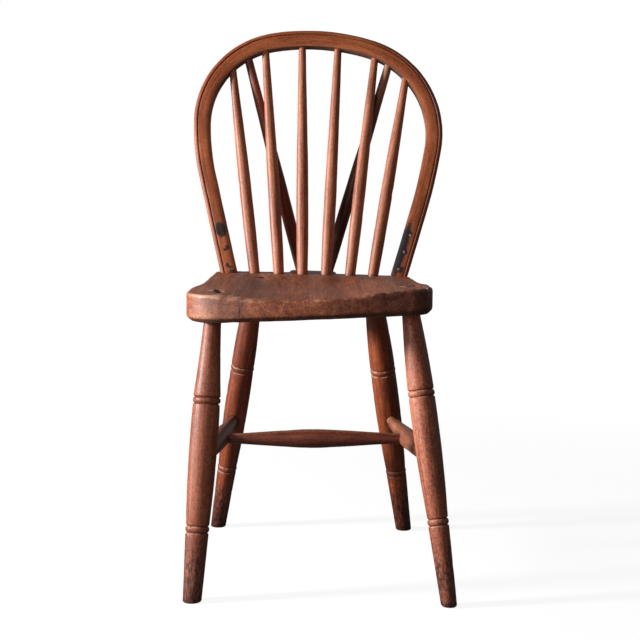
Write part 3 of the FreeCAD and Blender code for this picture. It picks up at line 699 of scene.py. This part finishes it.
class Wood(Finish):
    """A finish for old wood. It is built up in colour, roughness and relief from the bare grain outward."""

    def __init__(self, name, seed):
        self.material = bpy.data.materials.new(name)
        self.material.use_nodes = True
        super().__init__(self.material.node_tree)
        self.surface = self.tree.nodes["Principled BSDF"]
        self.world = self.add("TexCoord", output="Object")
        self.run = self.add("Attribute", {"attribute_name": "run"}, output="Vector")
        self.own = self.shift(self.run, (0.31 * seed, 0.17 * seed, 0.0))
        self.length = self.part(self.run, 2)
        self.colour = None
        self.height = None
        self.rough = None

    def grain(self, tones, figure=0.35, streaks=0.4, patches=0.35, mottle=0.3, scale=1.0):
        """Bare wood: a broad figure, streaks along the grain, patches and fine mottling in three tones."""
        light, middle, dark = tones
        broad = self.noise(self.stretch(self.own, (1, 1, 0.07)), 95.0 * scale, 3.0, 0.55)
        fine = self.noise(self.stretch(self.own, (1, 1, 0.045)), 420.0 * scale, 3.0, 0.65)
        patch = self.noise(self.stretch(self.own, (1, 1, 0.35)), 24.0, 4.0, 0.6)
        dust = self.noise(self.own, 260.0, 5.0, 0.7)
        tone = (broad * figure + fine * streaks + patch * patches + dust * mottle
                + (0.5 - 0.5 * (figure + streaks + patches + mottle)))
        self.broad = broad
        self.patch = patch
        self.dust = dust
        stops = ((0.3, dark), (0.5, middle), (0.7, light))
        self.colour = self.add("ValToRGB", {"stops": stops}, {"Fac": tone})
        self.height = broad * 0.3 + fine * 0.3 + dust * 0.2
        self.rough = patch * 0.2 + dust * 0.15 + 0.3

    def lay(self, share, colour, relief=0.0, rough=0.0):
        """Lay a colour over the wood where share is 1, and raise or sink and roughen it there."""
        self.colour = self.mix(share, self.colour, colour)
        self.sink(share, relief, rough)

    def stain(self, share, colour, relief=0.0, rough=0.0):
        """Darken the wood by a colour where share is 1."""
        self.colour = self.darken(share, self.colour, colour)
        self.sink(share, relief, rough)

    def sink(self, share, relief, rough):
        if relief:
            self.height = self.height + share * relief
        if rough:
            self.rough = self.rough + share * rough

    def flecks(self, colour, strength, fineness=1.0):
        """Short dark dashes along the grain."""
        dashes = self.noise(self.stretch(self.own, (1, 1, 0.2)), 820.0 * fineness, 1.5, 0.5)
        self.stain(dashes.clear(0.6, 0.7) * strength, colour, -0.35)

    def dots(self, colour, strength, spacing, size, relief=0.0):
        """Small round marks, sparse and uneven."""
        cells = self.add("TexVoronoi", {}, {"Vector": self.own, "Scale": 1 / spacing}, "Distance")
        sparse = self.noise(self.own, 0.9 / spacing, 0.0).clear(0.5, 0.62)
        self.lay(cells.clear(size, size * 0.6) * sparse * strength, colour, relief)

    def finished(self, depth):
        """Link colour, roughness and relief, whose whole height is depth in metres."""
        self.feed(self.surface.inputs["Base Color"], self.colour)
        self.feed(self.surface.inputs["Roughness"], self.rough)
        bump = self.add("Bump", {}, {"Strength": 1.0, "Distance": depth, "Height": self.height})
        self.feed(self.surface.inputs["Normal"], bump)
        return self.material


# Colour of the painted shade round the stretcher joints
JOINT_SHADE = linear(52, 30, 24)
# Near black: wormholes, the shake, and painted shade inside the breaks and chips
NEAR_BLACK = linear(30, 18, 15)
PALE = linear(226, 178, 150)

# Woods, each as its light, middle and dark tone
TONES = {
    "leg_front_left": (linear(194, 115, 81), linear(159, 84, 54), linear(89, 38, 24)),
    "leg_front_right": (linear(231, 146, 113), linear(187, 104, 73), linear(105, 48, 31)),
    "leg_back_left": (linear(193, 98, 54), linear(134, 60, 32), linear(58, 23, 11)),
    "leg_back_right": (linear(192, 102, 56), linear(139, 62, 31), linear(64, 24, 11)),
    "cross_stretcher": (linear(148, 78, 53), linear(115, 54, 34), linear(66, 27, 16)),
    "right_stretcher": (linear(206, 136, 104), linear(164, 98, 70), linear(98, 52, 38)),
    "left_stretcher": (linear(160, 101, 74), linear(114, 66, 46), linear(61, 34, 26)),
    "stick": (linear(224, 149, 112), linear(180, 105, 73), linear(101, 50, 34)),
    # The left brace's tones are raised for painted light and the right brace's lowered for painted shade,
    # lit and shaded copies of one ash
    "brace_left": (linear(198, 100, 68), linear(147, 70, 48), linear(88, 46, 32)),
    "brace_right": (linear(134, 88, 66), linear(101, 57, 39), linear(55, 26, 17)),
    "bow": (linear(211, 121, 71), linear(169, 86, 46), linear(102, 47, 26)),
    "seat": (linear(202, 123, 85), linear(158, 84, 54), linear(94, 45, 28)),
    "wedge": (linear(236, 198, 168), linear(212, 164, 132), linear(150, 102, 80)),
}

# How clear the pale line, worn and partly a painted highlight, is under the grooves of each leg's upper and
# lower ring
WORN_AND_LIT_RINGS = {
    "front_left": (0.0, 1.0),
    "front_right": (0.8, 0.8),
    "back_left": (0.7, 0.7),
    "back_right": (1.0, 0.2),
}


def ring_shade_and_highlight(wood, name):
    """Painted shade in the grooves, with a pale worn line under each that is partly a painted highlight on
    the lit left side.
    """
    drop = LEGS[name][2]
    for level, worn in zip((LEG_UPPER_RING, LEG_LOWER_RING), WORN_AND_LIT_RINGS[name]):
        off = wood.length + (level + drop) * MM
        groove = abs(abs(off) - RING_HALF * MM)
        # Painted shade in the grooves
        wood.stain(groove.clear(0.0021, 0.0005) * 0.5, linear(96, 60, 50), 0.0, 0.2)
        # A pale worn line, partly a painted highlight, on the left where the light falls
        beside = abs(off + 0.0014)
        edge = abs(beside - RING_HALF * MM).clear(0.0011, 0.0004)
        broken = wood.noise(wood.own, 170.0, 2.0).clear(0.38, 0.5)
        lit_left = wood.part(wood.run, 0).clear(0.016, -0.004)
        wood.lay(edge * broken * lit_left * worn * 0.7, linear(224, 172, 146))


def tenon_end(wood, name):
    """The end of a back tenon is dull. A front one is pale where it is whole, with painted shade, black,
    inside the break.
    """
    within = wood.length.clear(0.030, 0.0325)
    if name.startswith("back"):
        wood.stain(within * 0.5, linear(150, 110, 90))
        return
    wood.lay(within, linear(255, 206, 170))
    # Painted shade inside the break
    edge = BROKEN[name][0] * MM
    broken = wood.part(wood.run, 0).clear(edge - 0.0006, edge + 0.0004)
    wood.lay(within * broken, NEAR_BLACK)


def dry_foot(wood, name):
    """The foot is scuffed, dry and grey."""
    level = wood.part(wood.world, 2)
    scuffed = wood.noise(wood.stretch(wood.own, (1, 1, 0.4)), 300.0, 4.0, 0.75)
    low = level.clear(0.11, 0.05)
    wood.stain(low * scuffed.clear(0.54, 0.42) * 0.85, linear(92, 66, 56), -0.6)
    wood.lay(low * scuffed.clear(0.56, 0.66) * 0.4, linear(206, 160, 138), 0.3, 0.15)
    grey = linear(158, 136, 126) if name.startswith("back") else linear(176, 156, 148)
    wood.stain(level.clear(0.1, 0.0) * 0.75, grey)
    wood.stain(level.clear(0.012, 0.001) * 0.6, linear(110, 90, 80))


def joint_painted_shade(wood, name):
    """Painted shade round the end of the side stretcher, on the side of the leg that it enters."""
    joint = wood.beside(wood.world, *rung_ends(name.split("_")[1]))
    inward = wood.part(wood.run, 1) * (1 if name.startswith("front") else -1)
    wood.stain(joint.clear(0.0115, 0.0075) * inward.clear(0.0, 0.004) * 0.75, JOINT_SHADE)


def leg_wood(name, seed):
    wood = Wood(name + "_beech", seed)
    smoother = name.startswith("back")
    wood.grain(TONES["leg_" + name], 0.4, 0.45, 0.5, 0.35 if smoother else 0.65)
    wood.flecks(linear(84, 44, 32), 0.35 if smoother else 0.6, 1.3)
    wood.dots(PALE, 0.4 if smoother else 0.65, 0.0055, 0.13)
    wood.dots(NEAR_BLACK, 0.8, 0.011, 0.09, -1.0)
    ring_shade_and_highlight(wood, name)
    tenon_end(wood, name)
    # Painted shade where the leg meets the seat, just under it
    wood.stain(wood.length.clear(-0.012, -0.001) * 0.6, linear(120, 96, 86))
    dry_foot(wood, name)
    joint_painted_shade(wood, name)
    return wood.finished(0.0005)


def stretcher_wood(name, seed):
    wood = Wood(name + "_beech", seed)
    wood.grain(TONES[name + "_stretcher"], 0.45, 0.5, 0.5, 0.35)
    wood.flecks(linear(60, 30, 22), 0.6)
    wood.dots(PALE, 0.35, 0.006, 0.11)
    if name != "cross":
        # The ends to the back legs have lost their finish, and are paler still with a painted highlight
        bare = wood.length.clear(0.29, 0.34) * (wood.patch * 0.5 + 0.6)
        wood.lay(bare, linear(196, 142, 112), 0.0, 0.2)
    else:
        facing = wood.part(wood.add("NewGeometry", output="Normal"), 2)
        worn = (facing + (wood.dust - 0.5) * 0.5).clear(0.75, 1.0)
        wood.lay(worn * 0.55, linear(170, 118, 92), 0.0, 0.1)
    return wood.finished(0.0005)


def stick_wood(name, seed):
    tones = TONES.get(name, TONES["stick"])
    wood = Wood(name + "_ash", seed)
    wood.grain(tones, 0.35, 0.55, 0.4, 0.35)
    wood.flecks(linear(84, 48, 36), 0.45, 0.9)
    wood.dots(PALE, 0.3, 0.006, 0.1)
    # Painted shade at the foot, where it enters the seat
    wood.stain(wood.length.clear(0.006, 0.0) * 0.6, linear(110, 80, 68))
    # Painted light on the upper part of the right brace
    if name == "brace_right":
        wood.lay(wood.length.clear(0.28, 0.36) * (wood.patch * 0.4 + 0.5), linear(190, 136, 108))
    return wood.finished(0.0004)


# Dark marks on the feet of the hoop: their middles and half sizes in its run, and their strength
LEFT_KNEE = -CHAINS["left"][2] * MM
RIGHT_KNEE = CHAINS["right"][2] * MM
BOW_STAINS = (
    ((-0.003, -0.013, LEFT_KNEE - 0.098), (0.0095, 0.03, 0.0125), 0.95),
    ((-0.0072, -0.013, LEFT_KNEE - 0.1299), (0.0032, 0.03, 0.004), 0.95),
    ((-0.001, -0.013, LEFT_KNEE - 0.1589), (0.003, 0.03, 0.0035), 0.95),
    ((-0.006, -0.013, LEFT_KNEE - 0.1726), (0.006, 0.03, 0.005), 0.9),
    ((-0.008, -0.013, RIGHT_KNEE + 0.07), (0.0072, 0.03, 0.05), 1.0),
    ((-0.004, -0.013, RIGHT_KNEE + 0.0406), (0.005, 0.03, 0.006), 0.9),
    ((-0.0027, -0.013, RIGHT_KNEE + 0.0721), (0.005, 0.03, 0.006), 0.9),
    ((0.0, -0.013, RIGHT_KNEE + 0.1024), (0.005, 0.03, 0.006), 0.9),
)


def bow_wood():
    wood = Wood("bow_ash", 41)
    wood.grain(TONES["bow"], 0.4, 0.5, 0.5, 0.4)
    wood.flecks(linear(84, 44, 30), 0.5)
    across = wood.part(wood.run, 0)
    depth = wood.part(wood.run, 1)
    # Darker in the bead's groove, and grey-dark on the inside of the crown
    bead = abs(across - 0.00675).clear(0.0015, 0.0006) * depth.clear(-0.0105, -0.0115)
    wood.stain(bead * 0.45, linear(84, 46, 34))
    crown = abs(wood.length).clear(0.3, 0.16)
    wood.lay(across.clear(-0.0118, -0.0134) * crown * 0.75, linear(96, 76, 66), 0.0, 0.15)
    # Iron stains round the nails, and an old burn on the left foot
    for middle, sizes, strength in BOW_STAINS:
        ragged = wood.away(wood.run, middle, sizes) + (wood.dust - 0.5) * 0.9
        wood.stain(ragged.clear(1.2, 0.8) * strength, linear(34, 21, 18), -0.3, 0.1)
    return wood.finished(0.0005)


def shade_in_broken_mortises(wood):
    """Painted shade, black, inside the chips and round the broken front tenons."""
    for middle, sizes in CHIPS:
        oval = wood.away(wood.world, middle, [size * 1.1 for size in sizes] + [0.02])
        chipped = oval + (wood.dust - 0.5) * 0.3
        wood.lay(chipped.clear(1.05, 0.85) * 0.95, NEAR_BLACK, 0.0, 0.2)
    for leg in BROKEN:
        mortise = wood.beside(wood.world, *leg_line(leg))
        wood.lay(mortise.clear(0.0138, 0.0128), NEAR_BLACK)


def worn_and_lit_arrises(wood, x, y, z):
    """The arrises are worn pale, with a painted highlight, most of all at the left and in front."""
    ridge = wood.add("Attribute", {"attribute_name": "ridge"}, output="Fac")
    broken = wood.noise(wood.world, 75.0, 3.0, 0.6)
    lit_left = x.clear(-0.05, -0.08) * 1.2 + 1.0
    worn = (ridge * lit_left + (broken - 0.5) * 0.4).clear(0.12, 0.3)
    forward = y.clear(-0.165, -0.18) * 0.55 + 0.1
    # Pale wear and painted highlight on the arrises
    wood.lay(worn * z.clear(0.425, 0.435) * forward, linear(232, 180, 150))


def saw_marks(wood, x, z, front):
    """Diagonal marks of the saw to the right of the front."""
    slanting = (x - (z - 0.43) * 0.9 + (wood.dust - 0.5) * 0.002) * 1150.0
    within = x.clear(0.09, 0.11) * x.clear(0.15, 0.135)
    saw = slanting.maths("SINE").clear(0.2, 0.9) * front * within
    wood.lay(saw * wood.broad.clear(0.35, 0.6) * 0.3, linear(176, 132, 108), -0.3)


def front_shake(wood, x, z, front):
    """A shake in the front edge, to the left."""
    shake = spot(-101.4, 0, 419)
    line = x - shake.x + (z - shake.z) * 0.06 + (wood.dust - 0.5) * 0.006
    crack = abs(line).clear(0.0008, 0.0002)
    wood.stain(crack * front * abs(z - shake.z).clear(0.0095, 0.004) * 0.75, NEAR_BLACK, -1.0)


def seat_wood():
    wood = Wood("seat_elm", 31)
    wood.grain(TONES["seat"], 0.55, 0.8, 0.6, 0.3, 0.9)
    wood.flecks(linear(70, 40, 30), 0.7, 0.9)
    x, y, z = (wood.part(wood.world, axis) for axis in range(3))
    facing = wood.add("NewGeometry", output="Normal")
    up = wood.part(facing, 2)
    front = wood.part(facing, 1).clear(-0.35, -0.75)
    # Dust and a painted sheen on the top, in browner patches
    dust_and_sheen = up.clear(0.6, 0.95) * wood.noise(wood.world, 22.0, 5.0, 0.65).clear(0.35, 0.6)
    wood.lay(dust_and_sheen * 0.22, linear(150, 104, 80), 0.0, 0.1)
    # The front is bare and pale at its left corner, and darker to the right; this fall from left to right is
    # partly painted light and shade
    wood.lay(front * x.clear(-0.06, -0.17) * 0.2, linear(232, 184, 160), 0.0, 0.1)
    wood.stain(front * x.clear(-0.05, 0.13) * 0.8, linear(150, 128, 120))
    # Painted shade on the bevel underneath, on faces that point down
    wood.stain(up.clear(-0.25, -0.6) * 0.7, linear(90, 66, 58))
    shade_in_broken_mortises(wood)
    worn_and_lit_arrises(wood, x, y, z)
    saw_marks(wood, x, z, front)
    front_shake(wood, x, z, front)
    return wood.finished(0.0006)


def wedge_wood(name, seed):
    wood = Wood(name + "_oak", seed)
    wood.run = wood.world
    wood.own = wood.shift(wood.world, (0.31 * seed, 0.17 * seed, 0.0))
    wood.grain(TONES["wedge"], 0.3, 0.5, 0.3, 0.4)
    return wood.finished(0.0003)


def iron():
    """Rusted nails, with painted glints on those at the right side of the chair."""
    nail = Wood("old_iron", 7)
    rust = nail.noise(nail.world, 900.0, 3.0, 0.6)
    painted_glint = nail.part(nail.world, 0).clear(0.05, 0.1) * rust.clear(0.42, 0.6)
    nail.colour = nail.mix(painted_glint, linear(40, 28, 24), linear(214, 180, 160))
    nail.rough = rust * 0.3 + 0.4
    nail.height = rust
    return nail.finished(0.0003)


# Camera
LENS = 75.7
SENSOR = 36.0
CAMERA_PLACE = Vector((0.0196, -2.1022, 0.618))
CAMERA_TURN = math.radians(0.34)
CAMERA_TILT = math.radians(-6.29)
CAMERA_ROLL = math.radians(0.62)


def add_camera():
    data = bpy.data.cameras.new("camera")
    data.lens = LENS
    data.sensor_width = SENSOR
    camera = bpy.data.objects.new("camera", data)
    bpy.context.scene.collection.objects.link(camera)
    aim = Matrix.Rotation(CAMERA_TURN, 4, "Z") @ Matrix.Rotation(math.pi / 2 + CAMERA_TILT, 4, "X")
    camera.matrix_world = Matrix.Translation(CAMERA_PLACE) @ aim @ Matrix.Rotation(CAMERA_ROLL, 4, "Z")
    bpy.context.scene.camera = camera


# Studio
CHAIR_MIDDLE = Vector((0, 0, 0.43))
KEY_BEARING = -77.0
KEY_HEIGHT = 12.5
KEY_DISTANCE = 3.2
KEY_SIZE = 0.45
KEY_POWER = 150.0
FILL_BEARING = -35.0
FILL_HEIGHT = 8.0
FILL_DISTANCE = 1.1
FILL_SIZE = 0.5
FILL_POWER = 2.1
AIR_LIGHT = 0.012
GLOSSY_SHARE = 0.3
FLOOR_REACH = 12.0
FLOOR_DROP = 0.0004
# Distances from the chair between which the floor's glow rises to full white
FLOOR_FADE = (0.7, 2.2)
FLOOR_TONE = 0.2
FLOOR_GLOW = 0.91


def add_lamp(name, bearing, height, distance, size, power):
    """A round lamp aimed at the chair. Its bearing is from the front, growing to the right as seen there."""
    data = bpy.data.lights.new(name, "AREA")
    data.shape = "DISK"
    data.size = size
    data.energy = power
    lamp = bpy.data.objects.new(name, data)
    bpy.context.scene.collection.objects.link(lamp)
    turn = math.radians(bearing)
    rise = math.radians(height)
    away = Vector((math.sin(turn) * math.cos(rise), -math.cos(turn) * math.cos(rise), math.sin(rise)))
    lamp.location = CHAIR_MIDDLE + away * distance
    lamp.rotation_euler = (-away).to_track_quat("-Z", "Y").to_euler()


def add_world():
    """White air: full for the camera, weaker in reflections, and weak as light."""
    world = bpy.data.worlds.new("studio_air")
    bpy.context.scene.world = world
    world.use_nodes = True
    world.node_tree.nodes.clear()
    air = Finish(world.node_tree)
    camera = air.add("LightPath", output="Is Camera Ray")
    glossy = air.add("LightPath", output="Is Glossy Ray")
    through = air.add("LightPath", output="Is Transmission Ray")
    seen = camera.most(through).most(glossy * GLOSSY_SHARE)
    strength = seen * (1 - AIR_LIGHT) + AIR_LIGHT
    background = air.add("Background", {}, {"Color": (1, 1, 1, 1), "Strength": strength})
    air.add("OutputWorld", {}, {"Surface": background})


def add_floor():
    """A pale floor that keeps the chair's shadow."""
    bpy.ops.object.select_all(action="DESELECT")
    bpy.ops.mesh.primitive_plane_add(size=FLOOR_REACH, location=(0, 0, -FLOOR_DROP))
    floor = bpy.context.object
    floor.name = "floor"
    material = bpy.data.materials.new("pale_floor")
    material.use_nodes = True
    finish = Finish(material.node_tree)
    surface = material.node_tree.nodes["Principled BSDF"]
    surface.inputs["Base Color"].default_value = (FLOOR_TONE, FLOOR_TONE, FLOOR_TONE, 1)
    surface.inputs["Roughness"].default_value = 0.9
    surface.inputs["Specular IOR Level"].default_value = 0.0
    surface.inputs["Emission Strength"].default_value = 1.0
    place = finish.add("TexCoord", output="Object")
    away = finish.add("VectorMath", {"operation": "LENGTH"}, {0: place}, 1)
    far = away.clear(*FLOOR_FADE) * (1 - FLOOR_GLOW) + FLOOR_GLOW
    glow = finish.add("LightPath", output="Is Camera Ray") * far
    finish.feed(surface.inputs["Emission Color"], glow)
    floor.data.materials.append(material)


bpy.context.scene.view_settings.view_transform = "Standard"
add_camera()
add_world()
add_lamp("key", KEY_BEARING, KEY_HEIGHT, KEY_DISTANCE, KEY_SIZE, KEY_POWER)
add_lamp("fill", FILL_BEARING, FILL_HEIGHT, FILL_DISTANCE, FILL_SIZE, FILL_POWER)
add_floor()

# Pieces that stand for the CAD nodes
for seed, name in enumerate(LEGS, 1):
    stand_for(turn_leg(name), "leg_" + name, leg_wood(name, seed))
middles = []
for seed, hand in enumerate(SIDE_STRETCHERS, 5):
    front, back = rung_ends(hand)
    middles.append((front + back) / 2)
    rung = turn_stretcher("stretcher_" + hand, front, back, 5)
    stand_for(rung, "stretcher_" + hand, stretcher_wood(hand, seed))
rung = turn_stretcher("stretcher_cross", *middles, 3)
stand_for(rung, "stretcher_cross", stretcher_wood("cross", 8))
for seed, (name, (foot, head)) in enumerate(STICKS.items(), 11):
    stand_for(turn_stick(name, foot, head), name, stick_wood(name, seed))
for seed, (name, (foot, head)) in enumerate(BRACES.items(), 21):
    stand_for(turn_brace(name, foot, head), name, stick_wood(name, seed))
stand_for(bend_bow(), "bow", bow_wood())
stand_for(carve_seat(), "seat", seat_wood())

# Wedges and nails keep their CAD shapes
for seed, place in enumerate((*LEGS, "bow_left", "bow_right"), 51):
    name = "wedge_" + place
    nodes[name].data.materials.clear()
    nodes[name].data.materials.append(wedge_wood(name, seed))
old_iron = iron()
for name in ("bow_nails", "seat_nail"):
    nodes[name].data.materials.clear()
    nodes[name].data.materials.append(old_iron)
